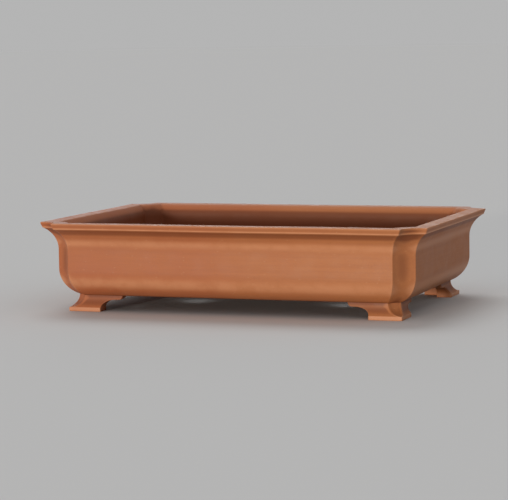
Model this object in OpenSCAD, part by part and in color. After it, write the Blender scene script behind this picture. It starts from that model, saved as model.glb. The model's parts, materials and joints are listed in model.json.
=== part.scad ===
// Unglazed bonsai pot: a shallow rectangle with indented corners, on four bracket feet.
//
// Units are millimetres. The pot stands on z = 0, centred on the origin, with its long side
// along X and its front towards -Y.
//
// It is built as a potter builds it, from pieces luted together: a floor slab, four moulded
// walls, four indented corners, a lip of eight strips laid on the flared top, and four feet.
// Over each drain hole lies a plastic screen, held by a clip of bent wire.
//
// Two rules make the shape. Every horizontal outline is the rim's rectangle moved inwards by
// an inset, with a quarter circle cut from each corner about the rim's own corner point. Every
// upright section is a list of [inset, height] points. A corner is therefore the same section
// as the walls, turned about the corner point.

/* [Pot] */
// Length over the rim, along X
pot_length = 400; // [340:5:600]
// Depth over the rim, along Y
pot_depth = 280; // [240:5:450]
// Height from the feet to the rim
pot_height = 90; // [75:1:150]

/* [Lip] */
// Height of the lip strips
lip_height = 6; // [4:0.5:9]
// Width of the flat top of the rim
rim_width = 15; // [10:0.5:20]
// How far the lip's face leans in, from its top edge to its bottom edge
lip_lean = 1.5; // [0:0.1:3]
// Rounding of the lip's outer edges
edge_radius = 1; // [0.5:0.1:1.5]
// Height over which the inside flares out to the rim
flare_height = 13; // [10:0.5:20]

/* [Walls] */
// Thickness of the upright part of a wall
wall = 8; // [6:0.5:12]
// How far the upright part of a wall stands in from the rim
wall_inset = 14.5; // [11:0.5:20]
// Height of the hollow curve under the lip
cove_height = 22; // [16:0.5:24]
// How far the bottom edge of a wall stands in from the rim
neck_inset = 32.5; // [27:0.5:36]
// Height of the belly, from a wall's bottom edge up to its upright part
belly_height = 26; // [22:0.5:34]

/* [Corners] */
// Radius of the corner indents at the rim
notch_radius = 21; // [14:0.5:30]
// Straight length of wall left on each side of a corner piece
corner_margin = 2; // [1:0.5:10]

/* [Floor] */
// Thickness of the floor slab
floor_thickness = 8; // [6:0.5:12]
// How far past the neck the inside curve of a wall reaches the floor
heel = 2; // [0:0.5:4]
// Width of the wall's flange that the floor slab is luted to
floor_lap = 5.5; // [3:0.5:12]

/* [Feet] */
// Height of the feet
foot_height = 16; // [12:0.5:22]
// How far the toes stand in from the rim
toe_inset = 27; // [22:0.5:30]
// Height of the upright band along the toe
toe_band = 4; // [3:0.5:6]
// Length of a toe along each wall
toe_length = 34; // [26:1:50]
// Thickness of a foot's legs
toe_width = 16; // [12:0.5:22]
// Length of a foot's bracket where it meets the wall
bracket_length = 56; // [46:1:76]
// Radius of the lobe at the end of a bracket
lobe_radius = 4; // [3:0.5:6]
// Flat between the lobe and the bracket's arch
lobe_flat = 3; // [1:0.5:6]

/* [Drainage] */
// Diameter of the drain holes
drain_diameter = 30; // [20:1:40]
// Distance between the drain holes, along X
drain_spacing = 160; // [100:5:200]
// Diameter of the tie-wire holes
tie_diameter = 6; // [4:0.5:9]
// Distance between the tie-wire holes along X
tie_spacing_x = 244; // [200:2:270]
// Distance between the tie-wire holes along Y
tie_spacing_y = 120; // [60:2:140]

/* [Screens and clips] */
// Distance from strand to strand of a screen
mesh_pitch = 4; // [3.5:0.5:6]
// Width and thickness of a strand
strand = 1.2; // [0.8:0.1:1.5]
// How far a screen reaches past the edge of its hole, at least
screen_lap = 7; // [4:1:12]
// Diameter of the clip wire
wire_diameter = 1.5; // [1:0.1:2]
// Radius of the bends that turn a clip's legs outwards, to the wire's centreline
bend_radius = 2.5; // [1.5:0.1:3]
// Radius of the loops that press on the screen, to their centreline
loop_radius = 4; // [3:0.5:5]
// Length of a clip's legs under the floor, past the edge of the hole
clip_grip = 11; // [6:1:20]
// Gap between the wire and the screen, the floor or the edge of the hole
clip_gap = 0.05; // [0.02:0.01:0.3]

/* [Hidden] */
clay = [0.67, 0.38, 0.24];
plastic = [0.10, 0.11, 0.10];
metal = [0.55, 0.42, 0.32];

// Faces of a cut run this far past the solid they cut
past = 1;
// Steps in the arc of a section, and in a rounded edge
arc_steps = 10;
edge_steps = 3;
turn_steps = 96;
wire_steps = 24;

// Heights
lip_z = pot_height - lip_height;
cove_z = lip_z - cove_height;
flare_z = pot_height - flare_height;
belly_z = foot_height + belly_height;
floor_z = foot_height + floor_thickness;

// Insets
inner_inset = wall_inset + wall;
heel_inset = neck_inset + heel;
seam_inset = heel_inset + floor_lap;
inner_toe = toe_inset + toe_width;

// Distance from the rim's corner point to where the indent ends, on the outline at an inset
function notch_end(inset) = sqrt(pow(notch_radius + inset, 2) - pow(inset, 2));
corner_length = notch_end(seam_inset) + corner_margin;

// Arc that leaves the point p upright and passes through the point q
function bow_radius(p, q) = (pow(q[0] - p[0], 2) + pow(q[1] - p[1], 2)) / (2 * abs(q[0] - p[0]));
function bow_turn(p, q, z) = asin(abs(z - p[1]) / bow_radius(p, q));
function bow_point(p, q, turn) = [
    p[0] + sign(q[0] - p[0]) * bow_radius(p, q) * (1 - cos(turn)),
    p[1] + sign(q[1] - p[1]) * bow_radius(p, q) * sin(turn)
];
// Points on that arc, from the height z0 to the height z1
function bow(p, q, z0, z1) = [
    for (i = [0 : arc_steps])
        bow_point(p, q, bow_turn(p, q, z0) + (bow_turn(p, q, z1) - bow_turn(p, q, z0)) * i / arc_steps)
];
// Quarter of an ellipse that leaves the point p upright and reaches the point q level
function quarter(p, q, steps) = [
    for (i = [0 : steps])
        [q[0] + (p[0] - q[0]) * cos(90 * i / steps), p[1] + (q[1] - p[1]) * sin(90 * i / steps)]
];
function reverse(list) = [for (i = [len(list) - 1 : -1 : 0]) list[i]];

// Ends of the arcs in the wall's section
cove_foot = [wall_inset, cove_z];
cove_tip = [lip_lean + edge_radius, lip_z];
belly_top = [wall_inset, belly_z];
neck = [neck_inset, foot_height];
flare_foot = [inner_inset, flare_z];
flare_tip = [rim_width, pot_height];
inner_belly_top = [inner_inset, belly_z];
inner_heel = [heel_inset, floor_z];

// Sections, from the bottom up
wall_outside = concat(
    reverse(bow(belly_top, neck, belly_z, foot_height)),
    bow(cove_foot, cove_tip, cove_z, lip_z)
);
wall_inside = concat(
    [[seam_inset, foot_height], [seam_inset, floor_z]],
    reverse(bow(inner_belly_top, inner_heel, belly_z, floor_z)),
    bow(flare_foot, flare_tip, flare_z, lip_z)
);
lip_outside = concat(
    reverse(quarter([lip_lean, lip_z + edge_radius], cove_tip, edge_steps)),
    quarter([0, pot_height - edge_radius], [edge_radius, pot_height], edge_steps)
);
lip_inside = bow(flare_foot, flare_tip, lip_z, pot_height);
foot_outside = concat(
    [[toe_inset, 0]],
    reverse(bow(neck, [toe_inset, toe_band], foot_height, toe_band))
);

// Outline of a foot's leg as seen from the side: toe, arch, lobe
toe_end = toe_inset + toe_length;
bracket_end = toe_inset + bracket_length;
arch_top = [bracket_end - lobe_radius - lobe_flat, foot_height - lobe_radius];
leg_outline = concat(
    [[0, 0], [toe_end, 0]],
    quarter([toe_end, toe_band], arch_top, arc_steps),
    reverse(quarter([bracket_end, foot_height], [bracket_end - lobe_radius, arch_top[1]], edge_steps * 2)),
    [[0, foot_height]]
);

// Screens and clips
openings_each_side = ceil((drain_diameter / 2 + screen_lap - mesh_pitch / 2) / mesh_pitch);
screen_half = (openings_each_side + 0.5) * mesh_pitch;
// A leg goes down through the outermost opening that leaves room for its lower bend in the hole
leg_x = mesh_pitch * floor((drain_diameter / 2 - bend_radius) / mesh_pitch);
// Its upper bend starts where the opening does, so that the wire clears the strand
knee_radius = (mesh_pitch - strand) / 2;
knee_x = leg_x - knee_radius;
wire_top = floor_z + strand + clip_gap + wire_diameter / 2;
wire_bottom = foot_height - clip_gap - wire_diameter / 2;
foot_end = drain_diameter / 2 + clip_grip;

// Puts a piece that is drawn for the front side, with the rim's edge on y = 0, on a named side
module on_front() {
    translate([0, -pot_depth / 2, 0]) children();
}
module on_back() {
    rotate([0, 0, 180]) on_front() children();
}
module on_left() {
    translate([-pot_length / 2, 0, 0]) rotate([0, 0, -90]) children();
}
module on_right() {
    rotate([0, 0, 180]) on_left() children();
}

// Puts a piece that is drawn with the rim's corner point on the origin in a named corner
module at_front_left() {
    translate([-pot_length / 2, -pot_depth / 2, 0]) children();
}
module at_front_right() {
    mirror([1, 0, 0]) at_front_left() children();
}
module at_back_left() {
    mirror([0, 1, 0]) at_front_left() children();
}
module at_back_right() {
    rotate([0, 0, 180]) at_front_left() children();
}

// Bar along X of the given length, with its outline in [inset, height] points
module bar(outline, length) {
    translate([-length / 2, 0, 0]) rotate([90, 0, 90]) linear_extrude(length) polygon(outline);
}

// Block that fills a corner's square, as far as reach, inside one side's section
module side_block(section, reach) {
    low = section[0][1];
    high = section[len(section) - 1][1];
    translate([0, reach, 0])
        rotate([90, 0, 0])
            linear_extrude(reach) polygon(concat(section, [[reach, high], [reach, low]]));
}

// The same inside both sides' sections, so that they meet at a mitre
module mitred_block(section, reach) {
    intersection() {
        side_block(section, reach);
        mirror([1, -1, 0]) side_block(section, reach);
    }
}

// Solid of revolution about the corner point, with [radius, height] points
module indent(points) {
    low = points[0][1];
    high = points[len(points) - 1][1];
    rotate_extrude($fn = turn_steps) polygon(concat([[0, low]], points, [[0, high]]));
}

// Everything in a corner's square that lies inside the outlines of a section
module indented_block(section, reach) {
    difference() {
        mitred_block(section, reach);
        indent([for (p = section) [notch_radius + p[0], p[1]]]);
    }
}

// The section with its ends drawn out past the solid that it cuts
function drawn_out(section) = concat(
    [section[0] - [0, past]],
    section,
    [section[len(section) - 1] + [0, past]]
);

// One corner's clay between an outside and an inside section
module corner_piece(outside, inside) {
    difference() {
        indented_block(outside, corner_length);
        indented_block(drawn_out(inside), corner_length + past);
    }
}

module wall_piece(length) {
    bar(concat(wall_outside, reverse(wall_inside)), length - 2 * corner_length);
}

module lip_piece(length) {
    bar(concat(lip_outside, reverse(lip_inside)), length - 2 * corner_length);
}

// One leg of a foot, along X
module foot_leg() {
    translate([0, inner_toe, 0]) rotate([90, 0, 0]) linear_extrude(inner_toe) polygon(leg_outline);
}

// Bracket foot: two legs with a flared outside. The corner indent runs down into it and dies out
// at the square corner of the toe.
module foot_piece() {
    difference() {
        intersection() {
            mitred_block(foot_outside, bracket_end + past);
            union() {
                foot_leg();
                mirror([1, -1, 0]) foot_leg();
            }
        }
        indent(concat(
            reverse(quarter([notch_radius + neck_inset, foot_height], [toe_inset * sqrt(2) - past, toe_band], arc_steps)),
            [[notch_radius + neck_inset, foot_height + past]]
        ));
    }
}

// Square net of flat strands, centred over a drain hole
module screen_piece() {
    translate([0, 0, floor_z])
        for (i = [-openings_each_side - 0.5 : openings_each_side + 0.5]) {
            translate([i * mesh_pitch - strand / 2, -screen_half - strand / 2, 0])
                cube([strand, 2 * screen_half + strand, strand]);
            translate([-screen_half - strand / 2, i * mesh_pitch - strand / 2, 0])
                cube([2 * screen_half + strand, strand, strand]);
        }
}

// Straight wire along X from x0 to x1, at the height z
module wire_x(x0, x1, z) {
    translate([x0, 0, z]) rotate([0, 90, 0]) cylinder(d = wire_diameter, h = x1 - x0, $fn = wire_steps);
}

// Bend of a right angle in the XZ plane, about the point [x, z], starting at the angle from
module wire_bend(x, z, radius, from) {
    translate([x, 0, z])
        rotate([90, -from, 0])
            rotate_extrude(angle = 90, $fn = turn_steps)
                translate([radius, 0]) circle(d = wire_diameter, $fn = wire_steps);
}

module wire_loop() {
    rotate_extrude($fn = turn_steps) translate([loop_radius, 0]) circle(d = wire_diameter, $fn = wire_steps);
}

// Half of a clip: bar and loop on the screen, leg down through the hole, end turned outwards
module clip_half() {
    wire_x(0, knee_x, wire_top);
    translate([knee_x, loop_radius, wire_top]) wire_loop();
    wire_bend(knee_x, wire_top - knee_radius, knee_radius, 0);
    translate([leg_x, 0, wire_bottom + bend_radius])
        cylinder(
            d = wire_diameter,
            h = wire_top - knee_radius - wire_bottom - bend_radius,
            $fn = wire_steps
        );
    wire_bend(leg_x + bend_radius, wire_bottom + bend_radius, bend_radius, 180);
    wire_x(leg_x + bend_radius, foot_end, wire_bottom);
}

module clip_piece() {
    clip_half();
    rotate([0, 0, 180]) clip_half();
}

module floor_slab() {
    slab_x = pot_length - 2 * seam_inset;
    slab_y = pot_depth - 2 * seam_inset;
    color(clay)
        difference() {
            translate([-slab_x / 2, -slab_y / 2, foot_height]) cube([slab_x, slab_y, floor_thickness]);
            for (x = [-pot_length / 2, pot_length / 2])
                for (y = [-pot_depth / 2, pot_depth / 2])
                    floor_cut(x, y, notch_radius + seam_inset);
            for (x = [-drain_spacing / 2, drain_spacing / 2])
                floor_cut(x, 0, drain_diameter / 2);
            for (x = [-tie_spacing_x / 2, tie_spacing_x / 2])
                for (y = [-tie_spacing_y / 2, tie_spacing_y / 2])
                    floor_cut(x, y, tie_diameter / 2);
        }
}

// Round cut right through the floor
module floor_cut(x, y, radius) {
    translate([x, y, foot_height - past])
        cylinder(r = radius, h = floor_thickness + 2 * past, $fn = turn_steps);
}

module front_wall() { color(clay) on_front() wall_piece(pot_length); }
module back_wall() { color(clay) on_back() wall_piece(pot_length); }
module left_wall() { color(clay) on_left() wall_piece(pot_depth); }
module right_wall() { color(clay) on_right() wall_piece(pot_depth); }

module front_left_corner() { color(clay) at_front_left() corner_piece(wall_outside, wall_inside); }
module front_right_corner() { color(clay) at_front_right() corner_piece(wall_outside, wall_inside); }
module back_left_corner() { color(clay) at_back_left() corner_piece(wall_outside, wall_inside); }
module back_right_corner() { color(clay) at_back_right() corner_piece(wall_outside, wall_inside); }

module front_lip() { color(clay) on_front() lip_piece(pot_length); }
module back_lip() { color(clay) on_back() lip_piece(pot_length); }
module left_lip() { color(clay) on_left() lip_piece(pot_depth); }
module right_lip() { color(clay) on_right() lip_piece(pot_depth); }

module front_left_lip_corner() { color(clay) at_front_left() corner_piece(lip_outside, lip_inside); }
module front_right_lip_corner() { color(clay) at_front_right() corner_piece(lip_outside, lip_inside); }
module back_left_lip_corner() { color(clay) at_back_left() corner_piece(lip_outside, lip_inside); }
module back_right_lip_corner() { color(clay) at_back_right() corner_piece(lip_outside, lip_inside); }

module front_left_foot() { color(clay) at_front_left() foot_piece(); }
module front_right_foot() { color(clay) at_front_right() foot_piece(); }
module back_left_foot() { color(clay) at_back_left() foot_piece(); }
module back_right_foot() { color(clay) at_back_right() foot_piece(); }

module left_screen() { color(plastic) translate([-drain_spacing / 2, 0, 0]) screen_piece(); }
module right_screen() { color(plastic) translate([drain_spacing / 2, 0, 0]) screen_piece(); }

module left_clip() { color(metal) translate([-drain_spacing / 2, 0, 0]) clip_piece(); }
module right_clip() { color(metal) translate([drain_spacing / 2, 0, 0]) clip_piece(); }

floor_slab();
front_wall();
back_wall();
left_wall();
right_wall();
front_left_corner();
front_right_corner();
back_left_corner();
back_right_corner();
front_lip();
back_lip();
left_lip();
right_lip();
front_left_lip_corner();
front_right_lip_corner();
back_left_lip_corner();
back_right_lip_corner();
front_left_foot();
front_right_foot();
back_left_foot();
back_right_foot();
left_screen();
right_screen();
left_clip();
right_clip();
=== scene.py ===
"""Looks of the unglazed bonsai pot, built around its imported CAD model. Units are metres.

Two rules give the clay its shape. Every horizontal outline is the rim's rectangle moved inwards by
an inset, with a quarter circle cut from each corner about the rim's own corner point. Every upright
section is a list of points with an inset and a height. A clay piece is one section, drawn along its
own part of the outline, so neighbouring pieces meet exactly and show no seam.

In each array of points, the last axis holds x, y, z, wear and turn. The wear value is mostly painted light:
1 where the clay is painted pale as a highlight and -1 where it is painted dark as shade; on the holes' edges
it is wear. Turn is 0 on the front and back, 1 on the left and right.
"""

import json
import math

import bmesh
import bpy
import numpy as np
from mathutils import Matrix, Vector
from mathutils.geometry import delaunay_2d_cdt


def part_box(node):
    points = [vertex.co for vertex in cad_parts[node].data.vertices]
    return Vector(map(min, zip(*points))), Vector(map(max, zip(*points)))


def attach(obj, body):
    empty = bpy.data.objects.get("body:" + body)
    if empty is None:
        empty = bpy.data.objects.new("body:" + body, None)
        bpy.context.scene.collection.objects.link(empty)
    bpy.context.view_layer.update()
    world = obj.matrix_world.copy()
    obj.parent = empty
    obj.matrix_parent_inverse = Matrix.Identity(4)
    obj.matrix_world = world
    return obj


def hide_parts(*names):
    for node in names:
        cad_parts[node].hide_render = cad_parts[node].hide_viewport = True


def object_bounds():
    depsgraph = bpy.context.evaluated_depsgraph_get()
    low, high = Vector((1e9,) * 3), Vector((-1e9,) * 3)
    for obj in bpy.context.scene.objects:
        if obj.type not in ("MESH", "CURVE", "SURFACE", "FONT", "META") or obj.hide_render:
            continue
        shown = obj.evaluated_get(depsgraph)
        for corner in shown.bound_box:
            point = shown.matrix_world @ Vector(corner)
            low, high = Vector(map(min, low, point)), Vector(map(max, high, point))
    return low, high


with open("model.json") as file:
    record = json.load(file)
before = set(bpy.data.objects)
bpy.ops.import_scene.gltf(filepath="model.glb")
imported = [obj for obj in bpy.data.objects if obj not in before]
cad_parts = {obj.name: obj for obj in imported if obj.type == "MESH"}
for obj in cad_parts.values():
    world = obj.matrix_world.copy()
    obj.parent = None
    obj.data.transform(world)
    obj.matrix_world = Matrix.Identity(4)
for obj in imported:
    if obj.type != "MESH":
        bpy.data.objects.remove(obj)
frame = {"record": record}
cad_low, cad_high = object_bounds()

MM = 0.001

# Sizes that the frame gives
HALF_X, HALF_Y, TOP_Z = cad_high
LIP_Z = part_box("front_lip")[0].z
FOOT_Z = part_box("front_left_foot")[1].z
FLOOR_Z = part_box("floor_slab")[1].z
SEAM_INSET = HALF_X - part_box("floor_slab")[1].x
TOE_INSET = HALF_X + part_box("front_left_foot")[0].x
BRACKET_END = HALF_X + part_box("front_left_foot")[1].x
COVE_TIP = HALF_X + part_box("front_left_corner")[0].x
CORNER_REACH = HALF_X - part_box("front_wall")[1].x

# Sizes of the sections, as in the CAD model
CORNER_MARGIN = 2 * MM
NOTCH_RADIUS = math.hypot(CORNER_REACH - CORNER_MARGIN, SEAM_INSET) - SEAM_INSET
RIM_WIDTH = 15 * MM
EDGE_RADIUS = 1 * MM
LIP_LEAN = COVE_TIP - EDGE_RADIUS
FLARE_Z = TOP_Z - 13 * MM
WALL_INSET = 14.5 * MM
INNER_INSET = WALL_INSET + 8 * MM
COVE_Z = LIP_Z - 22 * MM
BELLY_Z = FOOT_Z + 26 * MM
NECK_INSET = 32.5 * MM
HEEL_INSET = NECK_INSET + 2 * MM
TOE_BAND = 4 * MM
TOE_END = TOE_INSET + 34 * MM
INNER_TOE = TOE_INSET + 16 * MM
LOBE_RADIUS = 4 * MM
ARCH_END = BRACKET_END - LOBE_RADIUS - 3 * MM
DRAIN_RADIUS = 15 * MM

# Sizes of the screens and clips, as in the CAD model: a clip's leg goes down LEG_X from its middle
MESH_PITCH = 4 * MM
WIRE_RADIUS = 0.75 * MM
LEG_X = 12 * MM
KNEE_RADIUS = 1.4 * MM
LEG_BEND = 2.5 * MM

# Roundings that a finger or a wet sponge leaves. A hair's rounding is none to the eye.
ARRIS = 0.9 * MM
INNER_ARRIS = 2.5 * MM
RIM_ROUND = 1.5 * MM
NECK_ROUND = 0.9 * MM
FOOT_ROUND = 0.8 * MM
DRAIN_ROUND = 1.2 * MM
TIE_ROUND = 0.7 * MM
HAIR = 0.03 * MM

# A section's point with more rounding than this is inside the pot
INSIDE_FROM = 1.5 * MM

# How far the tint on an arris spreads beside it
ARRIS_GLOW = 1.6 * MM

# Spacing of points along a straight run or over the floor
GRID = 9 * MM

# Points nearer than this become one, and edges that turn more than this are drawn sharp
WELD = 0.004 * MM
SHARP = math.radians(38)

# Painted light on the clay, painted highlight (more than 0) or painted shade (less than 0): inset, height,
# reach, amount
PAINTED_LIGHT_MARKS = (
    # painted highlights on the lip's bottom edge and its two top edges, and painted shade in the middle of
    # its face
    (LIP_LEAN, LIP_Z + 0.5 * MM, 1.3 * MM, 1.4),
    (0.3 * EDGE_RADIUS, TOP_Z, 1.5 * MM, 0.7),
    (RIM_WIDTH, TOP_Z, 2 * MM, 0.45),
    (0.5 * LIP_LEAN, LIP_Z + 3 * MM, 1.3 * MM, -0.5),
    # painted shadow of the lip in the deep part of the cove, and a painted highlight on the swell below it
    (COVE_TIP + 1.5 * MM, LIP_Z - 1.5 * MM, 2.8 * MM, -0.65),
    (COVE_TIP + 5 * MM, LIP_Z - 4.5 * MM, 2.8 * MM, -0.6),
    (WALL_INSET - 1.5 * MM, COVE_Z + 8 * MM, 5 * MM, 0.7),
    # a painted highlight, a reflection of the floor, on the belly, and painted shade in the crease where the
    # foot meets it
    (WALL_INSET + 3.5 * MM, FOOT_Z + 14 * MM, 7.5 * MM, 0.85),
    (NECK_INSET, FOOT_Z, 2.2 * MM, -0.8),
    # painted shade in the foot's hollow, and painted highlights on the edges of its toe
    (NECK_INSET - 2.5 * MM, 0.62 * FOOT_Z, 4.5 * MM, -0.75),
    (TOE_INSET, 0.8 * TOE_BAND, 1.6 * MM, 0.9),
    (TOE_INSET, 0, 1.6 * MM, 0.9),
    # painted shade on the heel, inside
    (HEEL_INSET, FLOOR_Z, 6 * MM, -0.6),
)

# Inside, painted shade by depth below the rim: dark from the first pair of depths, less so from the second
PAINTED_SHADE_INSIDE, PAINTED_SHADE_DEPTHS = -0.95, (3 * MM, 9 * MM)
LESS_PAINTED_SHADE_BELOW, LESS_PAINTED_SHADE_DEPTHS = 0.3, (10 * MM, 32 * MM)

# Paler on a corner's arrises outside, darker on its arrises inside, and painted shade in the middle of its
# indent
ARRIS_PALER, INNER_ARRIS_DARKER, INDENT_PAINTED_SHADE = 0.2, -0.3, -0.5

# A painted highlight on the edges of the feet, and wear on the edges of the holes
FOOT_EDGE_PAINTED_HIGHLIGHT, HOLE_EDGE_WEAR = 0.8, 0.9


# ---------------------------------------------------------------- curves

def bow(start, through, z_from, z_to, steps):
    """Arc that leaves the point start upright and passes through another, between two heights."""
    across, up = through[0] - start[0], through[1] - start[1]
    radius = (across ** 2 + up ** 2) / (2 * abs(across))
    turns = [math.asin(min(1, abs(z - start[1]) / radius)) for z in (z_from, z_to)]
    return [
        (start[0] + math.copysign(radius * (1 - math.cos(a)), across),
         start[1] + math.copysign(radius * math.sin(a), up))
        for a in np.linspace(*turns, steps + 1)
    ]


def rounded(before, corner, after, size, steps):
    """Points that round a section's corner, from size before it to size after it."""
    before, corner, after = (np.array(p, float) for p in (before, corner, after))
    start = corner + size * (before - corner) / np.linalg.norm(before - corner)
    end = corner + size * (after - corner) / np.linalg.norm(after - corner)
    share = np.linspace(0, 1, steps + 1)[:, None]
    curve = (1 - share) ** 2 * start + 2 * share * (1 - share) * corner + share ** 2 * end
    return [tuple(p) for p in curve]


def line(start, end, steps):
    """Points from start to end, both left out."""
    return [tuple(p) for p in np.linspace(start, end, steps + 1)[1:-1]]


def between(value, low, high):
    """0 below low and 1 above high, with a smooth step from one to the other."""
    share = np.clip((value - low) / (high - low), 0, 1)
    return share * share * (3 - 2 * share)


def painted_light(inset, z, inside=False):
    """Painted light at a point of a section: painted highlights on edges and swells, painted shade in
    recesses and inside the pot.
    """
    depth = TOP_Z - z
    if inside and depth > PAINTED_SHADE_DEPTHS[0]:
        inside_shade = PAINTED_SHADE_INSIDE * between(depth, *PAINTED_SHADE_DEPTHS)
        return float(LESS_PAINTED_SHADE_BELOW * between(depth, *LESS_PAINTED_SHADE_DEPTHS) + inside_shade)
    return sum(
        amount * math.exp(-((inset - mark_inset) ** 2 + (z - mark_z) ** 2) / reach ** 2)
        for mark_inset, mark_z, reach, amount in PAINTED_LIGHT_MARKS
    )


# ---------------------------------------------------------------- sections, as closed loops

def is_inside(arris):
    """Whether a section's point is inside the pot, where the arrises are rounder."""
    return arris > INSIDE_FROM


def wall_section(neck_round):
    """(inset, z, arris) of a wall. The arris is the rounding where an indent cuts the outline."""
    belly = bow((WALL_INSET, BELLY_Z), (NECK_INSET, FOOT_Z), BELLY_Z, FOOT_Z, 22)[::-1]
    neck = rounded((SEAM_INSET, FOOT_Z), belly[0], belly[1], neck_round, 4)
    belly = [p for p in belly if p[1] > neck[-1][1] + 0.2 * MM]
    upright = line((WALL_INSET, BELLY_Z), (WALL_INSET, COVE_Z), 8)
    cove = bow((WALL_INSET, COVE_Z), (COVE_TIP, LIP_Z), COVE_Z, LIP_Z, 18)
    seam = line((COVE_TIP, LIP_Z), lip_foot(), 4)
    flare = bow((INNER_INSET, FLARE_Z), (RIM_WIDTH, TOP_Z), FLARE_Z, LIP_Z, 16)[::-1]
    inner_upright = line((INNER_INSET, FLARE_Z), (INNER_INSET, BELLY_Z), 10)
    inner_belly = bow((INNER_INSET, BELLY_Z), (HEEL_INSET, FLOOR_Z), BELLY_Z, FLOOR_Z, 16)
    flange = line((HEEL_INSET, FLOOR_Z), (SEAM_INSET, FLOOR_Z), 3)
    flange += [(SEAM_INSET, FLOOR_Z), (SEAM_INSET, (FLOOR_Z + FOOT_Z) / 2), (SEAM_INSET, FOOT_Z)]
    outside = [(*p, ARRIS) for p in neck + belly + upright + cove + seam]
    return outside + [(*p, INNER_ARRIS) for p in flare + inner_upright + inner_belly + flange]


def lip_foot():
    """The innermost point of the lip's underside."""
    return bow((INNER_INSET, FLARE_Z), (RIM_WIDTH, TOP_Z), FLARE_Z, LIP_Z, 1)[1]


def lip_section():
    """(inset, z, arris) of the lip: leaning face, flat top, flared inside."""
    turns = np.radians(np.linspace(0, 90, 6))
    quarter = [(EDGE_RADIUS * math.sin(a), EDGE_RADIUS * (1 - math.cos(a))) for a in turns]
    lower = [(COVE_TIP - across, LIP_Z + up) for across, up in quarter]
    upper = [(up, TOP_Z - EDGE_RADIUS + across) for across, up in quarter]
    flare = bow((INNER_INSET, FLARE_Z), (RIM_WIDTH, TOP_Z), LIP_Z, TOP_Z, 22)[::-1]
    rim_edge = rounded((EDGE_RADIUS, TOP_Z), flare[0], flare[1], RIM_ROUND, 6)
    flare = [p for p in flare if p[0] > rim_edge[-1][0] + 0.2 * MM]
    outside = lower + line(lower[-1], upper[0], 3) + upper
    top = line(upper[-1], rim_edge[0], 5)
    bottom = line(flare[-1], lower[0], 4)
    points = outside + top + rim_edge + flare + bottom
    share = [float(between(p[0], 2 * MM, RIM_WIDTH - RIM_ROUND)) for p in points]
    return [(*p, ARRIS + (INNER_ARRIS - ARRIS) * s) for p, s in zip(points, share)]


# ---------------------------------------------------------------- outlines

def corner_outline(inset, arris, notch=None, straight=8, turning=6, hollow=11):
    """(u, v, turn, edge) round one corner: u and v lead inwards from the rim's corner point, along
    the long and the short side. Edge is 1 on the arrises of the indent and fades beside them."""
    notch = NOTCH_RADIUS + inset if notch is None else notch
    deep = inset + arris
    along = max(math.sqrt(max((notch + arris) ** 2 - deep ** 2, 0)), deep)
    facing = math.atan2(deep, along)
    radius = math.hypot(along, deep) - arris
    half = [
        (along + (CORNER_REACH - along) * (1 - s) ** 1.6, inset, 0.0)
        for s in np.arange(straight) / straight
    ]
    half += [
        (along + arris * math.cos(a), deep + arris * math.sin(a), 0.0)
        for a in np.linspace(-math.pi / 2, facing - math.pi, turning + 1)
    ]
    half += [
        (radius * math.cos(a), radius * math.sin(a), 0.5 * s)
        for s, a in zip(np.linspace(0, 1, hollow + 1), np.linspace(facing, math.pi / 4, hollow + 1))
    ][1:]
    middle = half[straight + turning // 2]
    first = [
        (u, v, turn, math.exp(-((u - middle[0]) ** 2 + (v - middle[1]) ** 2) / ARRIS_GLOW ** 2))
        for u, v, turn in half
    ]
    return first + [(v, u, 1 - turn, edge) for u, v, turn, edge in first[-2::-1]]


CORNERS = {"front_left": (-1, -1), "front_right": (1, -1), "back_left": (-1, 1), "back_right": (1, 1)}
SIDES = {"front": (0, -1), "back": (0, 1), "left": (-1, 0), "right": (1, 0)}


def at_corner(corner, u, v):
    """x and y of a point u and v inwards from the rim's corner point."""
    return CORNERS[corner][0] * (HALF_X - u), CORNERS[corner][1] * (HALF_Y - v)


def on_side(side, along, inset):
    """x and y of a point along a side, moved inwards by an inset."""
    x_sign, y_sign = SIDES[side]
    return (x_sign * (HALF_X - inset), along) if x_sign else (along, y_sign * (HALF_Y - inset))


# ---------------------------------------------------------------- meshes

def by_hand(points):
    """Clay moved a little, as hands and the kiln move it: the same wherever two pieces meet, never
    outwards past the CAD box, and level where the pot stands. The waves' lengths and starts are
    chosen so that they don't line up."""
    give = 0.18 * MM
    x, y, z = (points[..., i] / (100 * MM) for i in range(3))
    sway = 0.6 * np.sin(5.1 * x + 2.3 * z + 0.4) + 0.4 * np.sin(8.7 * y - 3.1 * x + 1.9)
    lean = 0.6 * np.sin(5.9 * y - 1.7 * z + 2.2) + 0.4 * np.sin(7.3 * x + 4.1 * y + 0.8)
    sag = 0.5 + 0.3 * np.sin(2.9 * x + 1.1) + 0.2 * np.sin(4.3 * y - 2.6 * x)
    moved = points.copy()
    moved[..., 0] += give * (sway - points[..., 0] / HALF_X)
    moved[..., 1] += give * (lean - points[..., 1] / HALF_Y)
    moved[..., 2] -= 1.6 * give * sag * between(points[..., 2], FLOOR_Z, TOP_Z)
    return moved


def add_grid(bm, points, closed=False):
    """Quads between the rows of a grid of points. Closed joins each row's end to its start."""
    wear_and_painted_light, turn = bm.verts.layers.float["wear_and_painted_light"], bm.verts.layers.float["turn"]
    rows = []
    for row in points:
        verts = []
        for p in row:
            vert = bm.verts.new(p[:3])
            vert[wear_and_painted_light], vert[turn] = max(-1, min(1, p[3])), p[4]
            verts.append(vert)
        rows.append(verts)
    for near, far in zip(rows, rows[1:]):
        count = len(near)
        for i in range(count if closed else count - 1):
            bm.faces.new((near[i], near[(i + 1) % count], far[(i + 1) % count], far[i]))
    return rows


def new_bmesh():
    """Empty mesh whose points hold wear with painted light, and turn."""
    bm = bmesh.new()
    bm.verts.layers.float.new("wear_and_painted_light")
    bm.verts.layers.float.new("turn")
    return bm


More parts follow.
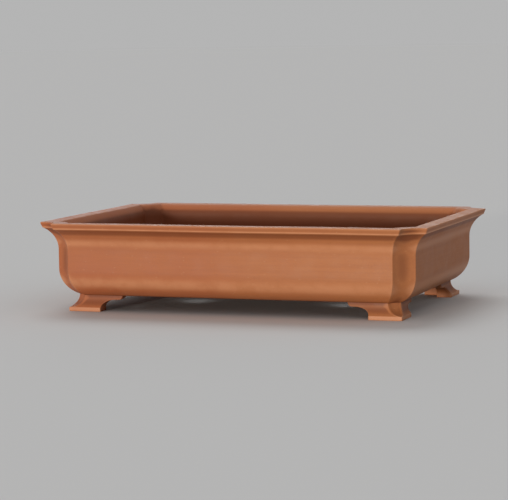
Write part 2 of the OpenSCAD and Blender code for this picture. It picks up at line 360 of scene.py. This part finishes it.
def loft(rows):
    """Closed mesh through closed rows of points, with a flat face at each end."""
    bm = new_bmesh()
    made = add_grid(bm, rows, closed=True)
    bm.faces.new(made[0])
    bm.faces.new(made[-1])
    return bm


def make_piece(node, bm, material):
    """The finished piece that stands for a CAD node."""
    bmesh.ops.remove_doubles(bm, verts=bm.verts, dist=WELD)
    bmesh.ops.recalc_face_normals(bm, faces=bm.faces)
    mesh = bpy.data.meshes.new(node + "_looks")
    bm.to_mesh(mesh)
    bm.free()
    mesh.shade_smooth()
    mesh.set_sharp_from_angle(angle=SHARP)
    mesh.materials.append(material)
    piece = bpy.data.objects.new(node + "_looks", mesh)
    bpy.context.scene.collection.objects.link(piece)
    smoothing = piece.modifiers.new("even_shading", "WEIGHTED_NORMAL")
    smoothing.keep_sharp = True
    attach(piece, "root")
    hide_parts(node)


# ---------------------------------------------------------------- clay pieces

def neck_round_at(to_corner):
    """Rounding of a wall's bottom edge: none where a foot is luted on, full between the feet."""
    past_foot = float(between(to_corner, BRACKET_END - 1 * MM, BRACKET_END + 3 * MM))
    return HAIR + (NECK_ROUND - HAIR) * past_foot


def straight_piece(side, section_at):
    """One section drawn along a side. section_at gives it at a distance from the rim's corner."""
    half_side = HALF_X if SIDES[side][1] else HALF_Y
    half = half_side - CORNER_REACH
    foot_place = half_side - BRACKET_END
    places = set(np.linspace(-half, half, 2 * math.ceil(half / GRID) + 1))
    places |= {sign * (foot_place + step * MM) for sign in (-1, 1) for step in (-3, -2, -1, 0, 1)}
    turn = float(SIDES[side][0] != 0)
    rows = []
    for along in sorted(places):
        # each point carries the section's painted light
        section = section_at(half_side - abs(along))
        rows.append([
            (*on_side(side, along, inset), z, painted_light(inset, z, is_inside(arris)), turn)
            for inset, z, arris in section
        ])
    return loft(by_hand(np.array(rows)))


def in_indent(turn):
    """How deep in a corner's indent a point lies: 0 on the walls, 1 in the middle of the indent."""
    return math.sin(math.pi * turn) ** 2


def corner_piece(corner, section):
    """One section drawn round a corner and its indent."""
    columns = []
    for inset, z, arris in section:
        inside = is_inside(arris)
        wear_and_painted_light = painted_light(inset, z, inside)
        # paler arrises outside, darker arrises inside, and painted shade in the middle of the indent
        arris_tint = INNER_ARRIS_DARKER if inside else ARRIS_PALER
        columns.append([
            (*at_corner(corner, u, v), z, wear_and_painted_light + arris_tint * edge + INDENT_PAINTED_SHADE * in_indent(turn), turn)
            for u, v, turn, edge in corner_outline(inset, arris)
        ])
    return loft(by_hand(np.array(columns).transpose(1, 0, 2)))


def foot_inset(z):
    """Inset of a foot's outside: upright along the toe's band, flared above it."""
    flare = bow((NECK_INSET, FOOT_Z), (TOE_INSET, TOE_BAND), max(z, TOE_BAND), FOOT_Z, 1)[0][0]
    flare -= max(0, TOE_BAND - z)
    crease = 0.3 * MM
    return (TOE_INSET + flare + math.hypot(TOE_INSET - flare, crease)) / 2


def foot_notch(z):
    """Radius of the indent in a foot, about the rim's corner point."""
    widest, least = NOTCH_RADIUS + NECK_INSET, TOE_INSET * math.sqrt(2) - 1 * MM
    fall = (FOOT_Z - max(z, TOE_BAND)) / (FOOT_Z - TOE_BAND)
    return least + (widest - least) * math.sqrt(max(0, 1 - fall ** 2))


def leg_ends():
    """(end, z) up the end of a foot's leg: rounded toe edge, band, hollow arch, lobe."""
    toe = [FOOT_ROUND * (1 - math.cos(a)) for a in np.radians([0, 25, 45, 65, 90])]
    ends = [(TOE_END, z) for z in toe + [0.6 * TOE_BAND, 0.9 * TOE_BAND, TOE_BAND]]
    rise, run = FOOT_Z - LOBE_RADIUS - TOE_BAND, ARCH_END - TOE_END
    for a in np.radians([1.5, 4, 8, 14, 20, 27, 34, 42, 50, 58, 66, 74, 81, 86]):
        ends.append((ARCH_END - run * math.cos(a), TOE_BAND + rise * math.sin(a)))
    for a in np.radians([7, 14, 24, 36, 48, 60, 75, 90]):
        ends.append((BRACKET_END - LOBE_RADIUS * (1 - math.sin(a)), FOOT_Z - LOBE_RADIUS * math.cos(a)))
    return ends


def gap_to(path, u, z):
    """Distance from a point in the side view to a path of points."""
    a, b = path[:-1], path[1:]
    step = b - a
    share = np.clip(((u - a[:, 0]) * step[:, 0] + (z - a[:, 1]) * step[:, 1]) / (step ** 2).sum(1), 0, 1)
    return float(np.hypot(a[:, 0] + share * step[:, 0] - u, a[:, 1] + share * step[:, 1] - z).min())


def foot_piece(corner):
    """A foot as a stack of L-shaped outlines, its edges rounded by how near the edge each point is."""
    ends = leg_ends()
    above_toe = [(end, z) for end, z in ends if z > TOE_BAND]
    path = np.array([(0, 0), (TOE_END, 0), (TOE_END, TOE_BAND)] + above_toe)

    def drawn_back(u, z):
        """How far the rounding of an edge takes a point in from the foot's face."""
        near = FOOT_ROUND - min(FOOT_ROUND, gap_to(path, u, z))
        return FOOT_ROUND - math.sqrt(FOOT_ROUND ** 2 - near ** 2)

    # closer together near the leg's end, where its edge is rounded
    shares = np.array([0, 0.015, 0.035, 0.065, 0.1, 0.15, 0.21, 0.29, 0.38, 0.48, 0.6, 0.73, 0.87])
    bend = 3 * MM
    rows = []
    for end, z in ends:
        bottom = FOOT_ROUND - min(FOOT_ROUND, z)
        lift = FOOT_ROUND - math.sqrt(FOOT_ROUND ** 2 - bottom ** 2)
        end -= lift if z < TOE_BAND else 0
        inset = foot_inset(z)
        outline = corner_outline(inset + lift, ARRIS, foot_notch(z), straight=1)[1:-1]
        first = outline[0][0]
        outer = []
        for u in end - (end - first) * shares:
            back = drawn_back(u, z)
            outer.append((u, inset + max(back, lift), 0.0, 1.6 * back / FOOT_ROUND))
        inner = []
        for u in end - (end - INNER_TOE - bend) * shares:
            inner.append((u, INNER_TOE - max(drawn_back(u, z), lift), 0.0, 0.0))
        inner_bend = [
            (INNER_TOE + bend * (1 - math.sin(a)), INNER_TOE + bend * (1 - math.cos(a)), a / math.pi, 0.0)
            for a in np.linspace(0, math.pi / 2, 7)
        ]
        across = [(end, v, 0.0, 0.0) for v in np.linspace(inner[0][1], outer[0][1], 6)[1:-1]]
        half = across + outer
        other = [(v, u, 1.0, e) for u, v, _, e in half[::-1]]
        inner_other = [(v, u, 1.0, e) for u, v, _, e in inner]
        loop = half + outline + other + inner_other + inner_bend[::-1] + inner[::-1]
        # painted highlights on the foot's rounded edges, with the painted light of the section marks
        rows.append([
            (*at_corner(corner, u, v), z, FOOT_EDGE_PAINTED_HIGHLIGHT * edge + painted_light(min(u, v), z), turn)
            for u, v, turn, edge in loop
        ])
    return loft(by_hand(np.array(rows)))


def slab_piece():
    """Floor slab: a plate with a rounded edge on every hole."""
    outer = []
    for corner, flip in (("front_left", -1), ("front_right", 1), ("back_right", -1), ("back_left", 1)):
        outline = corner_outline(SEAM_INSET, INNER_ARRIS)[::flip]
        outer += [at_corner(corner, u, v) for u, v, _, _ in outline]
    screens = [sum(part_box(hand + "_screen"), Vector()) / 2 for hand in ("left", "right")]
    holes = [(centre, DRAIN_RADIUS, DRAIN_ROUND, 48) for centre in screens]
    for mount in frame["record"]["mounts"]:
        if mount["kind"] == "bore":
            holes.append((Vector(mount["pos_m"]), mount["dims"]["r_mm"] * MM, TIE_ROUND, 24))
    bm = new_bmesh()
    loops = [outer]
    for centre, radius, edge, steps in holes:
        turns = np.linspace(0, 2 * math.pi, steps, endpoint=False)
        bend = np.radians([0, 25, 45, 65, 90])
        upper = [(radius + edge * (1 - math.sin(a)), FLOOR_Z - edge * (1 - math.cos(a))) for a in bend]
        lower = [(radius + edge * (1 - math.cos(a)), FOOT_Z + edge * (1 - math.sin(a))) for a in bend]
        wear_and_highlight = [HOLE_EDGE_WEAR] * 3 + [0.0] * 4 + [HOLE_EDGE_WEAR] * 3
        rings = [
            [(centre.x + r * math.cos(a), centre.y + r * math.sin(a), z, wear_and_painted_light, 0.0) for a in turns]
            for (r, z), wear_and_painted_light in zip(upper + lower, wear_and_highlight)
        ]
        add_grid(bm, by_hand(np.array(rings)), closed=True)
        loops.append([p[:2] for p in rings[0]])
    flat_points = [p for loop in loops for p in loop]
    margin = SEAM_INSET + 4 * MM
    for x in np.arange(-HALF_X, HALF_X, GRID):
        for y in np.arange(-HALF_Y, HALF_Y, GRID):
            u, v = HALF_X - abs(x), HALF_Y - abs(y)
            on_slab = min(u, v) > margin and math.hypot(u, v) > NOTCH_RADIUS + margin
            if on_slab and all(math.hypot(x - c.x, y - c.y) > r + e + 3 * MM for c, r, e, _ in holes):
                flat_points.append((x, y))
    constraints, first = [], 0
    for loop in loops:
        constraints.append([first + i for i in range(len(loop))])
        first += len(loop)
    edges = [(c[i], c[(i + 1) % len(c)]) for c in constraints for i in range(len(c))]
    verts, _, faces, *_ = delaunay_2d_cdt([Vector(p) for p in flat_points], edges, [constraints[0]], 1, 1e-7)
    wear_and_painted_light, turn = bm.verts.layers.float["wear_and_painted_light"], bm.verts.layers.float["turn"]
    for z in (FLOOR_Z, FOOT_Z):
        points = by_hand(np.array([(v.x, v.y, z, 0.0, 0.0) for v in verts]))
        made = [bm.verts.new(p[:3]) for p in points]
        for vert in made:
            vert[wear_and_painted_light], vert[turn] = 0.0, 0.0
        for face in faces:
            middle = sum((verts[i] for i in face), Vector((0, 0))) / len(face)
            if all((middle - c.xy).length > r + 0.5 * e for c, r, e, _ in holes):
                bm.faces.new([made[i] for i in face])
    sides = [[(x, y, z, 0.0, 0.0) for x, y in outer] for z in (FLOOR_Z, (FLOOR_Z + FOOT_Z) / 2, FOOT_Z)]
    add_grid(bm, by_hand(np.array(sides)), closed=True)
    return bm


# ---------------------------------------------------------------- screens and clips

def screen_piece(node):
    """Moulded net: one tile with a rounded square opening, repeated, inside a rounded border."""
    low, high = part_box(node)
    strand = high.z - low.z
    centre = (low + high) / 2
    count = round((high.x - low.x - strand) / MESH_PITCH)
    half = count * MESH_PITCH / 2
    steps = 4
    bm = new_bmesh()

    def ring(half_size, square):
        """Points round a square, pulled towards a circle where square is under 1."""
        points = []
        for side in range(4):
            for k in range(steps):
                a, b = 1.0, 2 * k / steps - 1
                scale = (1 - square) / math.hypot(a, b) + square
                a, b = a * half_size * scale, b * half_size * scale
                for _ in range(side):
                    a, b = -b, a
                points.append((a, b))
        return points

    # half size, squareness and share of the way down of each ring of an opening
    opening = (MESH_PITCH - strand) / 2
    upper = (
        (MESH_PITCH / 2, 1.0, 0), (opening + 0.30 * strand, 0.97, 0.02),
        (opening + 0.12 * strand, 0.93, 0.12), (opening, 0.88, 0.34),
    )
    levels = upper + tuple((size, square, 1 - down) for size, square, down in upper[::-1])
    for i in range(count):
        for j in range(count):
            x, y = (c - half + (k + 0.5) * MESH_PITCH for c, k in ((centre.x, i), (centre.y, j)))
            rows = []
            for size, square, down in levels:
                z = high.z - down * strand
                rows.append([(x + a, y + b, z, 0.0, 0.0) for a, b in ring(size, square)])
            add_grid(bm, np.array(rows), closed=True)

    # how far out, in strands, and share of the way down of each ring of the border
    upper = ((0, 0), (0.3, 0.04), (0.45, 0.2), (0.5, 0.4))
    border = []
    for out, down in upper + tuple((out, 1 - down) for out, down in upper[::-1]):
        row = []
        for side in range(4):
            for k in range(count * steps):
                at_end = k == 0
                size = (half + out * strand) * (1 - 0.3 * out * at_end * strand / half)
                a, b = size, size * (2 * k / (count * steps) - 1)
                for _ in range(side):
                    a, b = -b, a
                row.append((centre.x + a, centre.y + b, high.z - down * strand, 0.0, 0.0))
        border.append(row)
    add_grid(bm, np.array(border), closed=True)
    return bm


def wire_piece(node):
    """Clip: a length of wire with a loop at each knee, laid over the screen, its legs bent out
    under the floor."""
    low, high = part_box(node)
    centre = (low + high) / 2
    top, bottom = high.z - WIRE_RADIUS, low.z + WIRE_RADIUS
    crossing = 2 * WIRE_RADIUS + 0.06 * MM
    loop = (high.y - low.y) / 4 - WIRE_RADIUS / 2
    end = (high.x - low.x) / 2

    # half of the clip from its foot's end to its middle: foot, bend, leg, knee, loop, bar
    half = [(end, 0, bottom), (LEG_X + 3.2 * MM, 0, bottom)]
    half += [
        (LEG_X + LEG_BEND * (1 - math.sin(a)), 0, bottom + LEG_BEND * (1 - math.cos(a)))
        for a in np.linspace(0, math.pi / 2, 9)
    ]
    straight = np.linspace(bottom + 3 * MM, top - KNEE_RADIUS - 0.3 * MM, 5)
    half += [(LEG_X, 0, z) for z in straight]
    half += [
        (LEG_X - KNEE_RADIUS * (1 - math.cos(a)), 0, top - KNEE_RADIUS + KNEE_RADIUS * math.sin(a))
        for a in np.linspace(0, math.pi / 2, 7)
    ]
    start = LEG_X - KNEE_RADIUS
    for a in np.linspace(0, 2 * math.pi, 41)[1:]:
        rise = crossing * float(between(a, math.radians(215), math.radians(345)))
        half.append((start - loop * math.sin(a), loop * (1 - math.cos(a)), top + rise))
    for x in np.linspace(start, 0, 14)[1:-1]:
        rise = crossing * (1 - float(between(start - x, 2.2 * MM, 7 * MM)))
        half.append((x, 0, top + rise))
    path = [(centre.x + x, centre.y + y, z) for x, y, z in half]
    path += [(centre.x - x, centre.y - y, z) for x, y, z in half[::-1]]
    return swept(np.array(path), WIRE_RADIUS)


def swept(path, radius, around=14):
    """Closed tube of a radius along a path, with rounded-over ends."""
    tangents = np.gradient(path, axis=0)
    tangents /= np.linalg.norm(tangents, axis=1)[:, None]
    side = np.cross(tangents[0], (0.1, 0.9, 0.3))
    first_rings = ((0.75, -0.12), (0.93, -0.07), (1, 0))
    ends = {0: first_rings, len(path) - 1: [(size, -ahead) for size, ahead in first_rings[::-1]]}
    rows = []
    for i, (point, tangent) in enumerate(zip(path, tangents)):
        side = side - tangent * side.dot(tangent)
        side /= np.linalg.norm(side)
        other = np.cross(tangent, side)
        for size, ahead in ends.get(i, ((1, 0),)):
            centre = point + radius * ahead * tangent
            rows.append([
                (*(centre + radius * size * (math.cos(a) * side + math.sin(a) * other)), 0.0, 0.0)
                for a in np.linspace(0, 2 * math.pi, around, endpoint=False)
            ])
    return loft(np.array(rows))


# ---------------------------------------------------------------- materials

class Nodes:
    """A material's node tree, with one short call for each kind of node."""

    def __init__(self, name):
        self.material = bpy.data.materials.new(name)
        self.material.use_nodes = True
        self.tree = self.material.node_tree
        self.shader = self.tree.nodes["Principled BSDF"]

    def add(self, kind, inputs=None, **settings):
        """A new node of a kind, with its inputs and settings."""
        node = self.tree.nodes.new("ShaderNode" + kind)
        for name, value in settings.items():
            setattr(node, name, value)
        for name, value in (inputs or {}).items():
            self.put(value, node.inputs[name])
        return node

    def put(self, value, socket):
        """Give a socket a value, or link it to another node's output."""
        if isinstance(value, bpy.types.NodeSocket):
            self.tree.links.new(value, socket)
        else:
            socket.default_value = value

    def attribute(self, name):
        """A number that the mesh holds at each point."""
        return self.add("Attribute", attribute_name=name).outputs["Fac"]

    def math(self, operation, first, second):
        """Arithmetic on two values."""
        node = self.add("Math", operation=operation)
        self.put(first, node.inputs[0])
        self.put(second, node.inputs[1])
        return node.outputs[0]

    def stretch(self, vector, scale):
        """The vector with each axis scaled."""
        return self.add("Mapping", {"Vector": vector, "Scale": scale}).outputs[0]

    def noise(self, vector, scale, detail=4.0, roughness=0.55):
        """Cloudy pattern from 0 to 1. Scale counts its patches in a metre."""
        inputs = {"Vector": vector, "Scale": scale, "Detail": detail, "Roughness": roughness}
        return self.add("TexNoise", inputs).outputs["Fac"]

    def fade(self, value, start, end, first=0.0, last=1.0):
        """The value's range from start to end, taken to the range from first to last."""
        node = self.add("MapRange", interpolation_type="SMOOTHSTEP")
        for socket, number in zip(node.inputs, (value, start, end, first, last)):
            self.put(number, socket)
        return node.outputs[0]

    def mix(self, share, first, second):
        """The first colour, with a share of the second."""
        node = self.add("Mix", data_type="RGBA")
        for socket, value in zip((0, 6, 7), (share, first, second)):
            self.put(value, node.inputs[socket])
        return node.outputs[2]

    def mix_values(self, share, first, second):
        """The first number, with a share of the second."""
        node = self.add("Mix", data_type="FLOAT")
        for socket, value in zip((0, 2, 3), (share, first, second)):
            self.put(value, node.inputs[socket])
        return node.outputs[0]

    def cells(self, vector, scale):
        """Distance from the nearest of many scattered points, and that point's random value."""
        node = self.add("TexVoronoi", {"Vector": vector, "Scale": scale, "Randomness": 1.0})
        chance = self.add("SeparateColor", {"Color": node.outputs["Color"]}).outputs[0]
        return node.outputs["Distance"], chance

    def bump(self, height, distance, normal=None):
        """Surface relief of a depth, on top of other relief if there is some."""
        node = self.add("Bump", {"Strength": 1.0, "Distance": distance, "Height": height})
        if normal is not None:
            self.put(normal, node.inputs["Normal"])
        return node.outputs[0]


def clay_material():
    """Unglazed stoneware: uneven firing, wiped surface, fine grain, grog specks, painted highlights on edges
    and swells, painted shade in recesses and inside, and wear on the holes' edges. The clay fires lighter
    towards the right."""
    n = Nodes("unglazed_clay")
    place = n.add("TexCoord").outputs["Object"]
    wear_and_painted_light, turn = n.attribute("wear_and_painted_light"), n.attribute("turn")

    firing = n.noise(place, 9.0, 2.0)
    mottle = n.noise(place, 55.0, 5.0, 0.6)
    grain = n.noise(place, 900.0, 6.0, 0.65)
    wiped_long = n.noise(n.stretch(place, (9, 260, 260)), 1.0, 4.0, 0.6)
    wiped_short = n.noise(n.stretch(place, (260, 9, 260)), 1.0, 4.0, 0.6)
    wiped = n.mix_values(turn, wiped_long, wiped_short)

    along = n.add("SeparateXYZ", {"Vector": place}).outputs[0]
    heat = n.math("ADD", n.math("MULTIPLY", along, 1.1), n.math("MULTIPLY", firing, 0.8))
    colour = n.mix(n.fade(heat, 0.1, 0.7), (0.365, 0.103, 0.036, 1), (0.405, 0.146, 0.050, 1))
    colour = n.mix(n.fade(mottle, 0.3, 0.75, 0.0, 0.3), colour, (0.430, 0.158, 0.064, 1))
    colour = n.mix(n.fade(wiped, 0.35, 0.7, 0.0, 0.22), colour, (0.270, 0.085, 0.036, 1))
    colour = n.mix(n.fade(grain, 0.3, 0.7, 0.18, 0.0), colour, (0.230, 0.075, 0.035, 1))
    dark_specks = (620.0, 0.20, 0.90, (0.075, 0.032, 0.020, 1))
    pale_specks = (480.0, 0.22, 0.93, (0.560, 0.330, 0.190, 1))
    for scale, size, rare, tint in (dark_specks, pale_specks):
        distance, chance = n.cells(place, scale)
        speck = n.math("MULTIPLY", n.fade(distance, size, 0.4 * size), n.math("GREATER_THAN", chance, rare))
        colour = n.mix(n.math("MULTIPLY", speck, 0.6), colour, tint)
    # painted highlights, with real wear on the holes' edges, make the clay paler
    wear_and_highlight = n.math("MULTIPLY", n.fade(wear_and_painted_light, 0.1, 1.0), n.fade(mottle, 0.25, 0.6, 0.6, 1.0))
    colour = n.mix(n.math("MULTIPLY", wear_and_highlight, 0.7), colour, (0.560, 0.250, 0.125, 1))
    # painted shade in recesses and inside the pot makes the clay darker
    colour = n.mix(n.fade(wear_and_painted_light, -0.05, -0.9, 0.0, 0.8), colour, (0.160, 0.042, 0.014, 1))
    n.put(colour, n.shader.inputs["Base Color"])

    rough = n.fade(mottle, 0.3, 0.7, 0.50, 0.60)
    rough = n.math("ADD", rough, n.fade(grain, 0.3, 0.7, 0.0, 0.06))
    rough = n.math("SUBTRACT", rough, n.math("MULTIPLY", wear_and_highlight, 0.10))
    n.put(rough, n.shader.inputs["Roughness"])

    normal = n.bump(mottle, 0.06 * MM)
    normal = n.bump(wiped, 0.05 * MM, normal)
    normal = n.bump(grain, 0.035 * MM, normal)
    n.put(normal, n.shader.inputs["Normal"])
    n.shader.inputs["IOR"].default_value = 1.5
    n.shader.inputs["Specular IOR Level"].default_value = 0.3
    return n.material


def plastic_material():
    """Moulded polyethylene net: near-black, dusty, softly scuffed."""
    n = Nodes("net_plastic")
    place = n.add("TexCoord").outputs["Object"]
    dust = n.noise(place, 120.0, 5.0, 0.6)
    scuff = n.noise(n.stretch(place, (60, 900, 300)), 1.0, 3.0)
    colour = n.mix(n.fade(dust, 0.45, 0.8), (0.016, 0.019, 0.018, 1), (0.075, 0.070, 0.062, 1))
    colour = n.mix(n.fade(scuff, 0.6, 0.8, 0.0, 0.5), colour, (0.060, 0.066, 0.064, 1))
    n.put(colour, n.shader.inputs["Base Color"])
    n.put(n.fade(dust, 0.35, 0.7, 0.42, 0.68), n.shader.inputs["Roughness"])
    n.put(n.bump(scuff, 0.03 * MM, n.bump(dust, 0.06 * MM)), n.shader.inputs["Normal"])
    return n.material


def wire_material():
    """Copper-brown anodised aluminium wire, drawn and bent by hand."""
    n = Nodes("clip_wire")
    place = n.add("TexCoord").outputs["Object"]
    patch = n.noise(place, 260.0, 4.0)
    nick = n.noise(place, 1500.0, 3.0, 0.7)
    colour = n.mix(n.fade(patch, 0.35, 0.7), (0.300, 0.150, 0.085, 1), (0.420, 0.250, 0.160, 1))
    colour = n.mix(n.fade(nick, 0.62, 0.72), colour, (0.620, 0.540, 0.480, 1))
    n.put(colour, n.shader.inputs["Base Color"])
    n.put(n.fade(patch, 0.3, 0.7, 0.30, 0.46), n.shader.inputs["Roughness"])
    n.put(n.bump(nick, 0.02 * MM), n.shader.inputs["Normal"])
    n.shader.inputs["Metallic"].default_value = 1.0
    return n.material


# ---------------------------------------------------------------- studio

# Half the floor's width, the share of light it returns, and how bright it and the background are
FLOOR_REACH = 90
FLOOR_WHITE = 0.62
BACKGROUND_LEVEL = 0.46

# Suns low over the floor: name, direction they shine from, irradiance, angle across and colour
LOW_SUNS = (
    ("key", (-0.45, -2.6, 0.11), 2.35, math.radians(5), (1.0, 0.93, 0.83)),
    ("back_left", (-0.35, 0.94, 0.16), 0.25, math.radians(20), (1, 1, 1)),
)
OVERHEAD_FROM, OVERHEAD_ACROSS = (-0.3, 0.5, 1.0), math.radians(35)

CAMERA_PLACE = (0.7105, -2.0525, 0.2664)
CAMERA_YAW, CAMERA_PITCH, CAMERA_ROLL = np.radians((-19.471, 5.585, -0.816)).tolist()
CAMERA_LENS = 151.11


def add_floor():
    """Pale floor, so wide that its far edge meets the background at the horizon."""
    bm = bmesh.new()
    square = ((-1, -1), (1, -1), (1, 1), (-1, 1))
    bm.faces.new([bm.verts.new((FLOOR_REACH * x, FLOOR_REACH * y, 0)) for x, y in square])
    mesh = bpy.data.meshes.new("studio_floor")
    bm.to_mesh(mesh)
    bm.free()
    material = bpy.data.materials.new("studio_floor")
    material.use_nodes = True
    shader = material.node_tree.nodes["Principled BSDF"]
    shader.inputs["Base Color"].default_value = (FLOOR_WHITE, FLOOR_WHITE, FLOOR_WHITE, 1)
    shader.inputs["Roughness"].default_value = 1.0
    shader.inputs["Specular IOR Level"].default_value = 0.0
    mesh.materials.append(material)
    floor = bpy.data.objects.new("studio_floor", mesh)
    bpy.context.scene.collection.objects.link(floor)


def add_camera():
    """Camera in front, a little to the right, looking just over the rim."""
    data = bpy.data.cameras.new("camera")
    data.sensor_width = 36.0
    data.lens = CAMERA_LENS
    data.clip_start, data.clip_end = 0.05, 200
    camera = bpy.data.objects.new("camera", data)
    level = math.cos(CAMERA_PITCH)
    ahead = Vector((math.sin(CAMERA_YAW) * level, math.cos(CAMERA_YAW) * level, -math.sin(CAMERA_PITCH)))
    right = Vector((math.cos(CAMERA_YAW), -math.sin(CAMERA_YAW), 0))
    right = Matrix.Rotation(-CAMERA_ROLL, 3, ahead) @ right
    up = right.cross(ahead)
    turned = Matrix((right, up, -ahead)).transposed().to_4x4()
    camera.matrix_world = Matrix.Translation(CAMERA_PLACE) @ turned
    bpy.context.scene.collection.objects.link(camera)
    bpy.context.scene.camera = camera


def add_sun(name, aim_from, irradiance, softness, colour=(1, 1, 1)):
    """Even light over the whole floor, from the direction aim_from. Returns what the floor gets."""
    data = bpy.data.lights.new(name, "SUN")
    data.energy = irradiance
    data.angle = softness
    data.color = colour
    light = bpy.data.objects.new(name, data)
    light.rotation_euler = Vector(aim_from).to_track_quat("Z", "Y").to_euler()
    bpy.context.scene.collection.objects.link(light)
    return irradiance * Vector(aim_from).normalized().z


def light_studio():
    """Low warm key from the front, even light from above and behind, and a plain background. The
    sun overhead brings the floor to the background's brightness, so no horizon shows."""
    world = bpy.data.worlds.new("studio")
    world.use_nodes = True
    background = world.node_tree.nodes["Background"]
    background.inputs["Color"].default_value = (1, 1, 1, 1)
    background.inputs["Strength"].default_value = BACKGROUND_LEVEL
    bpy.context.scene.world = world
    missing = math.pi * BACKGROUND_LEVEL * (1 / FLOOR_WHITE - 1)
    missing -= sum(add_sun(*sun) for sun in LOW_SUNS)
    add_sun("overhead", OVERHEAD_FROM, missing / Vector(OVERHEAD_FROM).normalized().z, OVERHEAD_ACROSS)


# ---------------------------------------------------------------- the pot

def wall_at(to_corner):
    """A wall's section at a distance from the rim's corner."""
    return wall_section(neck_round_at(to_corner))


add_camera()
clay = clay_material()
wall = wall_section(HAIR)
lip = lip_section()
for side in SIDES:
    make_piece(side + "_wall", straight_piece(side, wall_at), clay)
    make_piece(side + "_lip", straight_piece(side, lambda _: lip), clay)
for corner in CORNERS:
    make_piece(corner + "_corner", corner_piece(corner, wall), clay)
    make_piece(corner + "_lip_corner", corner_piece(corner, lip), clay)
    make_piece(corner + "_foot", foot_piece(corner), clay)
make_piece("floor_slab", slab_piece(), clay)
net = plastic_material()
wire = wire_material()
for hand in ("left", "right"):
    make_piece(hand + "_screen", screen_piece(hand + "_screen"), net)
    make_piece(hand + "_clip", wire_piece(hand + "_clip"), wire)

add_floor()
light_studio()
bpy.context.scene.view_settings.view_transform = "Standard"
